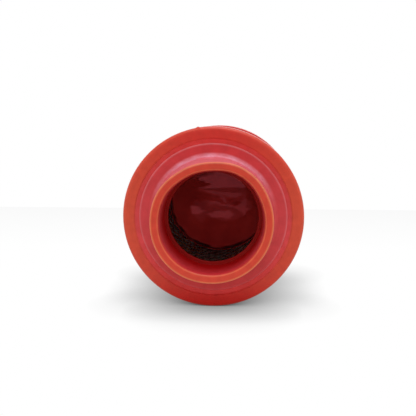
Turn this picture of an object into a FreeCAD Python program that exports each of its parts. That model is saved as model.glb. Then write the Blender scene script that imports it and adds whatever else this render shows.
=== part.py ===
"""Radial-seal air filter element: two moulded polyurethane end caps that hold a pleated paper pack
between an inner and an outer expanded-metal liner.

The element lies with its axis along Y. The origin is on that axis, at the front face of the open
end's flange. The neck points to -Y, the closed end to +Y, and +Z is up. Lengths are millimetres.
"""

import FreeCAD
import Part
import Sketcher
import math
import os

from FreeCAD import Placement, Rotation, Vector

DIMS = {
    # Open end cap: radii from the axis, stations from the front face of the flange land
    "flange_radius": 60.0,
    "flange_skirt": 12.0,
    "land_radius": 52.3,
    "slope_radius": 51.7,
    "slope_depth": 0.9,
    "gutter_radius": 49.3,
    "gutter_depth": 2.3,
    "ridge_radius": 48.9,
    "face_recess": 1.8,
    "neck_height": 24.3,
    "neck_base_radius": 39.6,
    "neck_mouth_radius": 38.5,
    "mouth_bore_radius": 33.2,
    "lead_in_length": 3.3,
    "bore_radius": 32.4,
    "lip_radius": 30.8,
    "lip_start": 4.3,
    "lip_end": 6.3,
    "web_depth": 8.0,
    # Filter pack: both liners and the paper share one length
    "pack_start": 5.0,
    "pack_length": 96.0,
    "liner_thickness": 0.8,
    "inner_liner_radius": 40.4,
    "outer_liner_radius": 56.4,
    "inner_fold_radius": 42.2,
    "outer_fold_radius": 54.4,
    "paper_thickness": 0.55,
    "fold_half_width": 0.75,
    "pleat_count": 80,
    # Expanded metal: diamonds with their long way along the axis
    "strand_width": 1.3,
    "mesh_rows": 17,
    "inner_mesh_cells": 32,
    "outer_mesh_cells": 45,
    "lap_cells": 2,
    "inner_lap_angle": 180.0,
    "outer_lap_angle": 140.0,
    # Hot-melt beads and the glued seam of the paper
    "bead_radius": 54.8,
    "bead_width": 3.0,
    "bead_depth": 2.0,
    "bead_spacing": 24.0,
    "seam_depth": 8.0,
    # Closed end cap: stations from the edge of its skirt
    "closed_skirt_start": 91.0,
    "closed_radius": 58.5,
    "floor_station": 4.5,
    "pocket_station": 10.0,
    "back_station": 16.0,
    "pad_station": 18.5,
    "pad_outer_foot": 54.5,
    "pad_outer_radius": 53.5,
    "pad_inner_radius": 47.0,
    "pad_inner_foot": 46.0,
    "dish_rim_radius": 30.0,
    "dish_radius": 28.5,
    "dish_station": 14.0,
    "pad_count": 6,
    "gap_start": 45.0,
    "gap_length": 11.0,
    "gap_width": 9.0,
    # Edge roundings
    "rim_rounding": 2.0,
    "skirt_rounding": 0.8,
    "neck_fillet": 1.9,
    "mouth_rounding": 0.7,
    "bore_edge_rounding": 1.0,
    "lip_rounding": 0.6,
    "fine_rounding": 0.25,
    "closed_rim_rounding": 2.5,
    "pad_rounding": 0.8,
}

Y_AXIS = Vector(0, 1, 0)
TO_Y = Rotation(Vector(1, 0, 0), -90)  # turns a primitive's own Z axis onto the element's Y axis
EDGE_TOLERANCE = 0.02
SMALLEST_SCRAP = 1.0  # cubic millimetres: loose corners of mesh under this fall away when it is cut

doc = FreeCAD.newDocument("air_filter_element")
sub_parts = []


def make_sheet():
    """The driving dimensions, one aliased cell each."""
    sheet = doc.addObject("Spreadsheet::Sheet", "dims")
    for row, (alias, value) in enumerate(DIMS.items(), start=1):
        sheet.set(f"A{row}", alias)
        sheet.set(f"B{row}", str(value))
        sheet.setAlias(f"B{row}", alias)
    doc.recompute()
    return sheet


dims = make_sheet()


def size(terms):
    """The value of one alias, or of several joined by ' + '."""
    return sum(float(dims.get(alias)) for alias in terms.split(" + "))


def cells(terms):
    """The same aliases as an expression on the sheet."""
    return " + ".join("dims." + alias for alias in terms.split(" + "))


def keep(shape_object, label):
    """Marks an object as a sub-part, which is exported under its label."""
    shape_object.Label = label
    sub_parts.append(shape_object)
    return shape_object


# --- Sketches and bodies -------------------------------------------------------------------------


def origin_feature(body, role):
    """One of a body's own origin planes or axes."""
    return next(f for f in body.Origin.OriginFeatures if f.Role == role)


def new_sketch(body, name, role, offset=0.0):
    """A sketch on one of the body's origin planes, moved along that plane's normal."""
    sketch = body.newObject("Sketcher::SketchObject", name)
    sketch.AttachmentSupport = [(origin_feature(body, role), "")]
    sketch.MapMode = "FlatFace"
    sketch.AttachmentOffset = Placement(Vector(0, 0, offset), Rotation())
    return sketch


def tie(sketch, line, across, name, terms):
    """Holds one coordinate of a line's start: on the sketch's axis for no terms, else by a dimension."""
    if terms is None:
        sketch.addConstraint(Sketcher.Constraint("PointOnObject", line, 1, -2 if across else -1))
        return
    kind = "DistanceX" if across else "DistanceY"
    index = sketch.addConstraint(Sketcher.Constraint(kind, -1, 1, line, 1, size(terms)))
    sketch.renameConstraint(index, name)
    sketch.setExpression("Constraints." + name, cells(terms))


def draw_outline(sketch, corners):
    """A closed outline of straight lines. Each corner is (radius terms, station terms)."""
    points = [Vector(*(0 if terms is None else size(terms) for terms in corner), 0) for corner in corners]
    count = len(points)
    for i, point in enumerate(points):
        sketch.addGeometry(Part.LineSegment(point, points[(i + 1) % count]), False)
    for i in range(count):
        sketch.addConstraint(Sketcher.Constraint("Coincident", i, 2, (i + 1) % count, 1))
    for i, (radius, station) in enumerate(corners):
        tie(sketch, i, True, f"radius_{i}", radius)
        tie(sketch, i, False, f"station_{i}", station)


def turned_body(label, corners):
    """A body turned about its Y axis from an outline of (radius, station) corners."""
    body = doc.addObject("PartDesign::Body", label)
    sketch = new_sketch(body, label + "_outline", "XY_Plane")
    draw_outline(sketch, corners)
    turned = body.newObject("PartDesign::Revolution", label + "_turned")
    turned.Profile = sketch
    turned.ReferenceAxis = (sketch, ["V_Axis"])
    turned.Angle = 360
    doc.recompute()
    return keep(body, label)


def circles_at(shape, corners):
    """Names of the circular edges that pass through the given (radius, station) corners."""
    found = []
    for number, edge in enumerate(shape.Edges, start=1):
        if not isinstance(edge.Curve, Part.Circle):
            continue
        for radius, station in corners:
            if (
                abs(edge.Curve.Radius - size(radius)) < EDGE_TOLERANCE
                and abs(edge.Curve.Center.y - (0 if station is None else size(station))) < EDGE_TOLERANCE
            ):
                found.append(f"Edge{number}")
    return found


def round_circles(body, name, rounding, corners):
    """Rounds the edges that the outline's corners sweep."""
    base = body.Tip
    names = circles_at(base.Shape, corners)
    if len(names) < len(corners):
        raise RuntimeError(f"{body.Label}: {name} found {len(names)} of {len(corners)} edges")
    fillet = body.newObject("PartDesign::Fillet", name)
    fillet.Base = (base, names)
    fillet.setExpression("Radius", "dims." + rounding)
    doc.recompute()
    return fillet


# --- Moulded end caps ----------------------------------------------------------------------------


def make_open_end_cap():
    """Flange, stepped front face, neck, sealing bore and the pocket that grips the pack."""
    mouth_bore = ("mouth_bore_radius", None)
    mouth_rim = ("neck_mouth_radius", None)
    neck_base = ("neck_base_radius", "neck_height + face_recess")
    ridge = ("ridge_radius", "neck_height + face_recess")
    land_edge = ("land_radius", "neck_height")
    rim_front = ("flange_radius", "neck_height")
    rim_back = ("flange_radius", "neck_height + flange_skirt")
    lip_back = ("lip_radius", "neck_height + lip_end")
    lip_front = ("lip_radius", "neck_height + lip_start")
    corners = [
        mouth_bore,
        mouth_rim,
        neck_base,
        ridge,
        ("gutter_radius", "neck_height + gutter_depth"),
        ("slope_radius", "neck_height + slope_depth"),
        land_edge,
        rim_front,
        rim_back,
        ("outer_liner_radius", "neck_height + flange_skirt"),
        ("outer_liner_radius", "neck_height + pack_start"),
        ("inner_liner_radius", "neck_height + pack_start"),
        ("inner_liner_radius", "neck_height + web_depth"),
        lip_back,
        lip_front,
        ("bore_radius", "neck_height + lip_start"),
        ("bore_radius", "lead_in_length"),
    ]
    cap = turned_body("open_end_cap", corners)
    round_circles(cap, "neck_root", "neck_fillet", [neck_base])
    round_circles(cap, "rim_edge", "rim_rounding", [rim_front])
    round_circles(cap, "skirt_edge", "skirt_rounding", [rim_back])
    round_circles(cap, "mouth_outer_edge", "mouth_rounding", [mouth_rim])
    round_circles(cap, "mouth_inner_edge", "bore_edge_rounding", [mouth_bore])
    round_circles(cap, "lip_edges", "lip_rounding", [lip_front, lip_back])
    round_circles(cap, "face_edges", "fine_rounding", [ridge, land_edge])
    cap.setExpression(".Placement.Base.y", "-dims.neck_height")
    return cap


def make_closed_end_cap():
    """Solid cap with the cast floor inside and a broken ring of stand-off pads outside."""
    skirt_edge = ("closed_radius", None)
    back_edge = ("closed_radius", "back_station")
    pad_edges = [("pad_outer_radius", "pad_station"), ("pad_inner_radius", "pad_station")]
    dish_edge = ("dish_rim_radius", "back_station")
    corners = [
        (None, "floor_station"),
        ("inner_liner_radius", "floor_station"),
        ("inner_liner_radius", "pocket_station"),
        ("outer_liner_radius", "pocket_station"),
        ("outer_liner_radius", None),
        skirt_edge,
        back_edge,
        ("pad_outer_foot", "back_station"),
        pad_edges[0],
        pad_edges[1],
        ("pad_inner_foot", "back_station"),
        dish_edge,
        ("dish_radius", "dish_station"),
        (None, "dish_station"),
    ]
    cap = turned_body("closed_end_cap", corners)
    round_circles(cap, "skirt_edge_rounding", "skirt_rounding", [skirt_edge])
    round_circles(cap, "back_edge_rounding", "closed_rim_rounding", [back_edge])
    round_circles(cap, "pad_edge_rounding", "pad_rounding", pad_edges)
    round_circles(cap, "dish_edge_rounding", "pad_rounding", [dish_edge])
    cut_pad_gaps(cap)
    cap.setExpression(".Placement.Base.y", "dims.closed_skirt_start")
    return cap


def cut_pad_gaps(cap):
    """Breaks the pad ring into separate pads with a pattern of radial gaps."""
    sketch = new_sketch(cap, "pad_gap_outline", "XZ_Plane")
    draw_outline(
        sketch,
        [(None, None), ("gap_length", None), ("gap_length", "gap_width"), (None, "gap_width")],
    )
    sketch.setExpression(".AttachmentOffset.Base.x", "dims.gap_start")
    sketch.setExpression(".AttachmentOffset.Base.y", "-dims.gap_width / 2")
    sketch.setExpression(".AttachmentOffset.Base.z", "-dims.pad_station")
    uncut = cap.Tip.Shape.Volume
    pocket = cap.newObject("PartDesign::Pocket", "pad_gap_cut")
    pocket.Profile = sketch
    pocket.Reversed = True
    pocket.setExpression("Length", "dims.pad_station - dims.back_station")
    doc.recompute()
    pattern = cap.newObject("PartDesign::PolarPattern", "pad_gaps")
    pattern.Originals = [pocket]
    pattern.Axis = (origin_feature(cap, "Y_Axis"), [""])
    pattern.Angle = 360
    pattern.setExpression("Occurrences", "dims.pad_count")
    cap.Tip = pattern
    doc.recompute()
    if not pattern.Shape.Volume < pocket.Shape.Volume < uncut:
        raise RuntimeError("the pad gaps cut nothing")


# --- Expanded-metal liners -----------------------------------------------------------------------


def mesh_windows(radius, count, columns, first_angle):
    """Radial diamond prisms through a wall, staggered by half a cell from row to row.

    The count is that of a full turn at the wall's middle radius; columns of them are made.
    """
    rows = int(size("mesh_rows"))
    pitch = size("pack_length") / rows
    half_cell = math.pi * radius / count
    half_strand = size("strand_width") / 2
    side = math.hypot(half_cell, pitch)
    half_across = half_cell - half_strand * side / pitch
    half_along = pitch - half_strand * side / half_cell
    inside = radius - size("liner_thickness")
    outline = [
        Vector(-half_across, 0, inside),
        Vector(0, -half_along, inside),
        Vector(half_across, 0, inside),
        Vector(0, half_along, inside),
    ]
    diamond = Part.Face(Part.makePolygon(outline + outline[:1]))
    prism = diamond.extrude(Vector(0, 0, 2 * size("liner_thickness")))
    windows = []
    for row in range(rows):
        for column in range(columns):
            window = prism.copy()
            window.translate(Vector(0, (row + 0.5) * pitch, 0))
            window.rotate(Vector(), Y_AXIS, first_angle + (column + (row % 2) / 2) * 360 / count)
            windows.append(window)
    return Part.makeCompound(windows)


def expanded_tube(bore, count):
    """A full turn of expanded metal."""
    wall = size("liner_thickness")
    length = size("pack_length")
    tube = Part.makeCylinder(bore + wall, length, Vector(), Y_AXIS)
    tube = tube.cut(Part.makeCylinder(bore, length, Vector(), Y_AXIS))
    return tube.cut(mesh_windows(bore + wall / 2, count, count, 0))


def expanded_lap(bore, count, angle):
    """The sheet's lapped end, whose diamonds lie half a cell aside from those that it covers."""
    wall = size("liner_thickness")
    length = size("pack_length")
    columns = int(size("lap_cells"))
    span = columns * 360 / count
    sector = Part.makeCylinder(bore + wall, length, Vector(), Y_AXIS, span)
    sector = sector.cut(Part.makeCylinder(bore, length, Vector(), Y_AXIS))
    middle = sector.Solids[0].CenterOfMass
    sector.rotate(Vector(), Y_AXIS, angle - math.degrees(math.atan2(middle.x, middle.z)))
    return sector.cut(mesh_windows(bore + wall / 2, count, columns + 2, angle - span / 2 - 180 / count))


def make_liner(label, bore, lap_bore, count, lap_angle):
    """A rolled liner: the tube and the lap that is spot-welded to it."""
    lap = expanded_lap(lap_bore, count, lap_angle)
    solids = expanded_tube(bore, count).Solids
    solids += [solid for solid in lap.Solids if solid.Volume > SMALLEST_SCRAP]
    liner = doc.addObject("Part::Feature", label)
    liner.Shape = Part.makeCompound(solids)
    liner.Placement = Placement(Vector(0, size("pack_start"), 0), Rotation())
    return keep(liner, label)


def make_liners():
    """Each liner laps towards the paper, so the faces that show stay even."""
    wall = size("liner_thickness")
    inner = size("inner_liner_radius")
    outer = size("outer_liner_radius") - wall
    make_liner("inner_liner", inner, inner + wall, int(size("inner_mesh_cells")), size("inner_lap_angle"))
    make_liner("outer_liner", outer, outer - wall, int(size("outer_mesh_cells")), size("outer_lap_angle"))


# --- Pleated paper, its seam and its beads -------------------------------------------------------


def beside_fold(radius, angle, offset):
    """A point beside a fold's radial line, in the plane square to the axis."""
    along = Vector(math.sin(angle), 0, math.cos(angle))
    aside = Vector(math.cos(angle), 0, -math.sin(angle))
    return along * radius + aside * offset


def pleat_loop(outer, outer_half, inner, inner_half):
    """A closed zigzag: a flat of 2 * outer_half at each outer fold and of 2 * inner_half at each inner one."""
    count = int(size("pleat_count"))
    points = []
    for i in range(count):
        fold = 2 * math.pi * i / count
        valley = fold + math.pi / count
        points += [beside_fold(outer, fold, -outer_half), beside_fold(outer, fold, outer_half)]
        points += [beside_fold(inner, valley, -inner_half), beside_fold(inner, valley, inner_half)]
    return Part.makePolygon(points + points[:1])


def extruded_section(label, face):
    """A face square to the axis, extruded over the pack's length."""
    section = doc.addObject("Part::Feature", label + "_section")
    section.Shape = face
    section.Placement = Placement(Vector(0, size("pack_start"), 0), Rotation())
    solid = doc.addObject("Part::Extrusion", label)
    solid.Base = section
    solid.DirMode = "Custom"
    solid.Dir = Y_AXIS
    solid.Solid = True
    solid.setExpression("LengthFwd", "dims.pack_length")
    return solid


def make_pleated_paper():
    """One folded sheet, as the area between its two zigzag faces. Returns the space it encloses too."""
    paper = size("paper_thickness")
    half = size("fold_half_width")
    inner, outer = size("inner_fold_radius"), size("outer_fold_radius")
    outside = pleat_loop(outer, half, inner + paper, half - paper)
    inside = pleat_loop(outer - paper, half - paper, inner, half)
    sheet = Part.makeFace([outside, inside], "Part::FaceMakerBullseye")
    keep(extruded_section("pleated_paper", sheet), "pleated_paper")
    return extruded_section("pleat_envelope", Part.Face(outside))


def make_seam():
    """The adhesive that closes the paper into a ring: it fills the root of one outward valley."""
    paper = size("paper_thickness")
    half = size("fold_half_width")
    inner, outer = size("inner_fold_radius"), size("outer_fold_radius")
    step = math.pi / int(size("pleat_count"))
    share = size("seam_depth") / (outer - inner)
    walls = []
    for side in (-1, 1):
        root = beside_fold(inner + paper, step, side * (half - paper))
        tip = beside_fold(outer, step + side * step, -side * half)
        walls.append([root, root + (tip - root) * share])
    (left_root, left_tip), (right_root, right_tip) = walls
    outline = Part.makePolygon([left_root, left_tip, right_tip, right_root, left_root])
    keep(extruded_section("paper_seam_adhesive", Part.Face(outline)), "paper_seam_adhesive")


def make_bead(label, steps, envelope):
    """A hot-melt ring over the outer folds, steps spacings behind the pack's middle."""
    station = f"dims.pack_start + dims.pack_length / 2 + {steps} * dims.bead_spacing - dims.bead_width / 2"
    discs = []
    for name, radius in (
        ("_outside", "dims.bead_radius"),
        ("_inside", "dims.outer_fold_radius - dims.bead_depth"),
    ):
        disc = doc.addObject("Part::Cylinder", label + name)
        disc.Placement = Placement(Vector(), TO_Y)
        disc.setExpression("Radius", radius)
        disc.setExpression("Height", "dims.bead_width")
        disc.setExpression(".Placement.Base.y", station)
        discs.append(disc)
    ring = doc.addObject("Part::Cut", label + "_ring")
    ring.Base, ring.Tool = discs
    bead = doc.addObject("Part::Cut", label)
    bead.Base, bead.Tool = ring, envelope
    keep(bead, label)


# --- Build and export ----------------------------------------------------------------------------


def check_document():
    """Stops if any object failed or a sub-part's shape is not a valid closed solid."""
    for item in doc.Objects:
        if {"Invalid", "Error"} & set(item.State):
            raise RuntimeError(f"{item.Label} is {item.State}")
    for item in sub_parts:
        shape = item.Shape
        if shape.isNull() or not shape.isValid() or not shape.Solids:
            raise RuntimeError(f"{item.Label} has no valid solid")
        print(f"{item.Label}: {len(shape.Solids)} solids, {shape.Volume / 1000:.2f} cm3")


def main():
    make_open_end_cap()
    make_closed_end_cap()
    envelope = make_pleated_paper()
    make_seam()
    for label, steps in (("pleat_bead_front", -1), ("pleat_bead_middle", 0), ("pleat_bead_rear", 1)):
        make_bead(label, steps, envelope)
    make_liners()
    doc.recompute()
    check_document()
    os.makedirs("parts", exist_ok=True)
    for item in sub_parts:
        item.Shape.exportStep(f"parts/{item.Label}.step")


main()
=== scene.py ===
"""Air filter element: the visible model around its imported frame, with its finishes, camera and light.

The element lies along Y with its neck towards -Y. Everything is in metres, in the frame's own axes;
sizes given in millimetres are turned to metres by MM.
"""

import logging
import math
from collections.abc import Iterable
from dataclasses import dataclass
from enum import Enum

import bmesh
import bpy
from mathutils import Matrix, Vector, noise


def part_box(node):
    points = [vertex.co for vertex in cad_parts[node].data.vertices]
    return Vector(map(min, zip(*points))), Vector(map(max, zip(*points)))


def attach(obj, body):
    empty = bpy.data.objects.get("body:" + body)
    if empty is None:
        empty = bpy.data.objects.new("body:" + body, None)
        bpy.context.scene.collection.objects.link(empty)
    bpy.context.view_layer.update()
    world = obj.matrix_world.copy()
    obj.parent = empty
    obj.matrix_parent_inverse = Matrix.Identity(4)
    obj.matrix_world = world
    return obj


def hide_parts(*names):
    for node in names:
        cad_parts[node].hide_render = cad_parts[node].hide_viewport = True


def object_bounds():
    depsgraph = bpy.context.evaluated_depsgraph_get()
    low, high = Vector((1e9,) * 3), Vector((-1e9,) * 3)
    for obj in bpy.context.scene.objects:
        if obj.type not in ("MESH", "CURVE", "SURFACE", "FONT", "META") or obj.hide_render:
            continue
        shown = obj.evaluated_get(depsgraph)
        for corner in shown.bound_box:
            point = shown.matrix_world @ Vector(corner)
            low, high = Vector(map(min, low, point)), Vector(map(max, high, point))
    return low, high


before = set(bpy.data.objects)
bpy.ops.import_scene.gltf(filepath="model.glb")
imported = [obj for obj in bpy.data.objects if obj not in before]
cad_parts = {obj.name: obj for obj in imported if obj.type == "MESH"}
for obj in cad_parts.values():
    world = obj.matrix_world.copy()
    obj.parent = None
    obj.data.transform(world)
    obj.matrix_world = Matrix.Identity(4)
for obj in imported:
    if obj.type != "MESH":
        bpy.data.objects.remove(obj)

MM = 0.001
FULL_TURN = 2 * math.pi
FLAT = 0.01 * MM  # a vertex this close to a plane counts as lying on it
WELD = 0.02 * MM  # vertices this close together are one
ROOT_BODY = "root"
ROSY_SHEEN = "rosy_sheen"
PALE_SHEEN = "pale_sheen"
LILAC_HIGHLIGHT = "lilac_highlight"
EDGE = "edge"
GROOVE_LIGHT = "groove_light"
PAINTED_SHADE = "painted_shade"
DEEP_SHADE = "deep_shade"
MARKS = (ROSY_SHEEN, GROOVE_LIGHT, PALE_SHEEN, LILAC_HIGHLIGHT, EDGE, PAINTED_SHADE, DEEP_SHADE)
COLOUR_A, COLOUR_B, COLOUR_RESULT = 6, 7, 2  # the Mix node's colour sockets
NUMBER_A, NUMBER_B = 2, 3  # the Mix node's sockets for plain numbers
COLOUR_MIX = {"data_type": "RGBA"}
COLOUR_MULTIPLY = {"data_type": "RGBA", "blend_type": "MULTIPLY"}

Tree = bpy.types.NodeTree
ShaderNode = bpy.types.Node
Socket = bpy.types.NodeSocket
Mesh = bmesh.types.BMesh

log = logging.getLogger("air_filter_element")

cad_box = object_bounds()


class Node(str, Enum):
    """The frame's nodes."""

    OPEN_CAP = "open_end_cap"
    CLOSED_CAP = "closed_end_cap"
    PAPER = "pleated_paper"
    SEAM = "paper_seam_adhesive"
    INNER_LINER = "inner_liner"
    OUTER_LINER = "outer_liner"
    BEAD_FRONT = "pleat_bead_front"
    BEAD_MIDDLE = "pleat_bead_middle"
    BEAD_REAR = "pleat_bead_rear"


class Slot(str, Enum):
    """The record's material slots."""

    POLYURETHANE = "moulded_polyurethane"
    PAPER = "filter_paper"
    METAL = "expanded_metal"


# --- Finishes ---


def srgb(code: str) -> tuple[float, float, float, float]:
    """Turns an sRGB hex colour into linear RGBA.

    Args:
        code: Six hex digits.

    Returns:
        Linear red, green, blue and an alpha of one.
    """
    channels = [int(code[i : i + 2], 16) / 255 for i in (0, 2, 4)]
    linear = [c / 12.92 if c <= 0.04045 else ((c + 0.055) / 1.055) ** 2.4 for c in channels]
    return (linear[0], linear[1], linear[2], 1.0)


def add_node(
    tree: Tree,
    kind: str,
    settings: dict[str, object] | None = None,
    inputs: dict[str | int, object] | None = None,
    stops: Iterable[tuple[float, str]] = (),
) -> ShaderNode:
    """Adds a shader node.

    Args:
        tree: The material's node tree.
        kind: The node's type, without its ShaderNode prefix.
        settings: The node's own properties.
        inputs: Its sockets, each given a value or the output socket that feeds it.
        stops: A colour ramp's two stops, each a position and a hex colour.

    Returns:
        The new node.
    """
    node = tree.nodes.new("ShaderNode" + kind)
    for name, value in (settings or {}).items():
        setattr(node, name, value)
    for name, value in (inputs or {}).items():
        if isinstance(value, Socket):
            tree.links.new(value, node.inputs[name])
        else:
            node.inputs[name].default_value = value
    for index, (position, code) in enumerate(stops):
        node.color_ramp.elements[index].position = position
        node.color_ramp.elements[index].color = srgb(code)
    return node


def cloud(tree: Tree, where: Socket, size_mm: float, detail: float) -> Socket:
    """Clouds about size_mm across.

    Args:
        tree: The material's node tree.
        where: Object coordinates, in metres.
        size_mm: The size of a real cloud, patch or grain.
        detail: How many finer clouds lie on it.

    Returns:
        The clouds' strength, from 0 to 1.
    """
    inputs = {"Vector": where, "Scale": 1 / (size_mm * MM), "Detail": detail}
    return add_node(tree, "TexNoise", inputs=inputs).outputs["Fac"]


def roughen(tree: Tree, shader: ShaderNode, grain: Socket, depth_mm: float, share: float) -> None:
    """Stands a grain up from the surface.

    Args:
        tree: The material's node tree.
        shader: Its Principled shader.
        grain: The grain's strength.
        depth_mm: The grain's real height.
        share: How much of that shows.
    """
    inputs = {"Strength": share, "Distance": depth_mm * MM, "Height": grain}
    tree.links.new(add_node(tree, "Bump", inputs=inputs).outputs["Normal"], shader.inputs["Normal"])


@dataclass(frozen=True)
class Finish:
    """A procedural material; each kind of finish draws its own nodes."""

    name: str

    def build(self) -> bpy.types.Material:
        """Makes the material, once.

        Returns:
            The material.
        """
        found = bpy.data.materials.get(self.name)
        if found:
            return found
        material = bpy.data.materials.new(self.name)
        material.use_nodes = True
        tree = material.node_tree
        shader = tree.nodes["Principled BSDF"]
        where = add_node(tree, "TexCoord").outputs["Object"]
        self.draw(tree, shader, where)
        return material

    def draw(self, tree: Tree, shader: ShaderNode, where: Socket) -> None:
        """Adds the finish's own nodes.

        Args:
            tree: The material's node tree.
            shader: Its Principled shader.
            where: Object coordinates, in metres.
        """
        raise NotImplementedError


@dataclass(frozen=True)
class MouldedPolyurethane(Finish):
    """Soft polyurethane from an open mould: satin, orange-red where it is handled.

    What the mould and use have left, and painted light and shade, are painted on the mesh as attributes,
    from 0 to 1: a painted rosy sheen over everything inside the land, painted light that lifts the
    narrow groove, a painted pale highlight and sheen along the ridge, at the neck's root, on the neck and
    at the sides, a patchy painted lilac highlight on the upper side of the neck, its root and its lip,
    thin edges that are paler and more orange, partly a paler skin and partly painted highlight, painted
    shade deep in the bore and along the bottom of the flange, and darker painted shade in the throat.
    """

    handled: str = "BE261C"
    tones: tuple[tuple[str, str], ...] = (
        # painted sheen: a rosy tone that stands in for reflection on everything inside the land
        (ROSY_SHEEN, "C02C30"),
        # painted light: a brighter tone that lifts the shaded groove
        (GROOVE_LIGHT, "F44A40"),
        # painted highlight and sheen: a pale pink line on the ridge, and a paler neck, root and sides
        (PALE_SHEEN, "D46C6E"),
        # painted highlight: lilac, on the upper side of the neck's root, the neck and the lip
        (LILAC_HIGHLIGHT, "DCA8B8"),
        # paler, more orange edges: partly a paler skin and partly painted highlight
        (EDGE, "D27246"),
        # painted shade: dark red deep in the bore and along the bottom of the flange
        (PAINTED_SHADE, "B20608"),
        # painted shade: near black in the throat
        (DEEP_SHADE, "3C0605"),
    )
    gloss: str = "FFC0B8"
    # specular tint where the painted shade lies, redder so that the reflections there darken too
    shaded_gloss: str = "FF7A70"
    smoothest: float = 0.31
    roughest: float = 0.44
    mottle_mm: float = 5.0
    mottle_depth: float = 0.6
    sheen_mm: float = 3.0
    grain_mm: float = 0.45
    grain_depth_mm: float = 0.05
    grain_share: float = 0.25
    ring_pitch_mm: float = 1.0
    ior: float = 1.5

    def draw(self, tree: Tree, shader: ShaderNode, where: Socket) -> None:
        """The painted tones, mottled, with the turned mould's rings and a fine moulded grain."""
        base = srgb(self.handled)
        for attribute, tone in self.tones:
            amount = add_node(tree, "Attribute", {"attribute_name": attribute}).outputs["Fac"]
            mix = add_node(
                tree, "Mix", COLOUR_MIX, {"Factor": amount, COLOUR_A: base, COLOUR_B: srgb(tone)}
            )
            base = mix.outputs[COLOUR_RESULT]
        mottle = add_node(
            tree,
            "ValToRGB",
            inputs={"Fac": cloud(tree, where, self.mottle_mm, 5.0)},
            stops=[(0.3, "E2DCDA"), (0.7, "FFFFFF")],
        )
        mottled = add_node(
            tree,
            "Mix",
            COLOUR_MULTIPLY,
            {"Factor": self.mottle_depth, COLOUR_A: base, COLOUR_B: mottle.outputs["Color"]},
        )
        rings = add_node(
            tree,
            "ValToRGB",
            inputs={"Fac": self.mould_rings(tree, where)},
            stops=[(0.0, "F2EEEE"), (1.0, "FFFFFF")],
        )
        colour = add_node(
            tree,
            "Mix",
            COLOUR_MULTIPLY,
            {"Factor": 1.0, COLOUR_A: mottled.outputs[COLOUR_RESULT], COLOUR_B: rings.outputs["Color"]},
        )
        tree.links.new(colour.outputs[COLOUR_RESULT], shader.inputs["Base Color"])
        rough = add_node(
            tree,
            "MapRange",
            inputs={
                "Value": cloud(tree, where, self.sheen_mm, 3.0),
                "To Min": self.smoothest,
                "To Max": self.roughest,
            },
        )
        tree.links.new(rough.outputs["Result"], shader.inputs["Roughness"])
        grain = cloud(tree, where, self.grain_mm, 3.0)
        roughen(tree, shader, grain, self.grain_depth_mm, self.grain_share)
        shader.inputs["IOR"].default_value = self.ior
        # the painted shade also tints the specular reflection redder
        shade_amount = add_node(tree, "Attribute", {"attribute_name": PAINTED_SHADE}).outputs["Fac"]
        tint = add_node(
            tree,
            "Mix",
            COLOUR_MIX,
            {"Factor": shade_amount, COLOUR_A: srgb(self.gloss), COLOUR_B: srgb(self.shaded_gloss)},
        )
        tree.links.new(tint.outputs[COLOUR_RESULT], shader.inputs["Specular Tint"])

    def mould_rings(self, tree: Tree, where: Socket) -> Socket:
        """Faint rings left by the lathe-turned mould, uneven and about a millimetre apart.

        Args:
            tree: The material's node tree.
            where: Object coordinates, in metres.

        Returns:
            The rings' strength, from 0 to 1.
        """
        split = add_node(tree, "SeparateXYZ", inputs={"Vector": where})
        flat = add_node(
            tree, "CombineXYZ", inputs={"X": split.outputs["X"], "Y": split.outputs["Z"]}
        )
        distance = add_node(tree, "VectorMath", {"operation": "LENGTH"}, {0: flat.outputs["Vector"]})
        rings = add_node(
            tree,
            "TexNoise",
            {"noise_dimensions": "1D"},
            {"W": distance.outputs["Value"], "Scale": 1 / (self.ring_pitch_mm * MM), "Detail": 2.0},
        )
        return rings.outputs["Fac"]


@dataclass(frozen=True)
class PouredPolyurethane(Finish):
    """The cast floor of the closed cap: it set against air, so its skin is smooth and glossy."""

    light: str = "E63A36"
    dark: str = "D2302E"
    # painted shade where the floor meets the mesh
    deep_shading: str = "2A1614"
    gloss: str = "FF7482"
    flow_mm: float = 14.0
    roughness: float = 0.03
    ior: float = 1.5

    def draw(self, tree: Tree, shader: ShaderNode, where: Socket) -> None:
        """The cap's red with faint flow marks, with painted shade where the floor meets the mesh, under a
        skin tinted by the pigment.
        """
        flow = cloud(tree, where, self.flow_mm, 3.0)
        tone = add_node(
            tree, "ValToRGB", inputs={"Fac": flow}, stops=[(0.35, self.dark), (0.7, self.light)]
        )
        # painted shade where the floor meets the mesh
        deep_shade = add_node(tree, "Attribute", {"attribute_name": DEEP_SHADE}).outputs["Fac"]
        colour = add_node(
            tree,
            "Mix",
            COLOUR_MIX,
            {"Factor": deep_shade, COLOUR_A: tone.outputs["Color"], COLOUR_B: srgb(self.deep_shading)},
        )
        tree.links.new(colour.outputs[COLOUR_RESULT], shader.inputs["Base Color"])
        shader.inputs["Roughness"].default_value = self.roughness
        shader.inputs["IOR"].default_value = self.ior
        shader.inputs["Specular Tint"].default_value = srgb(self.gloss)


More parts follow.
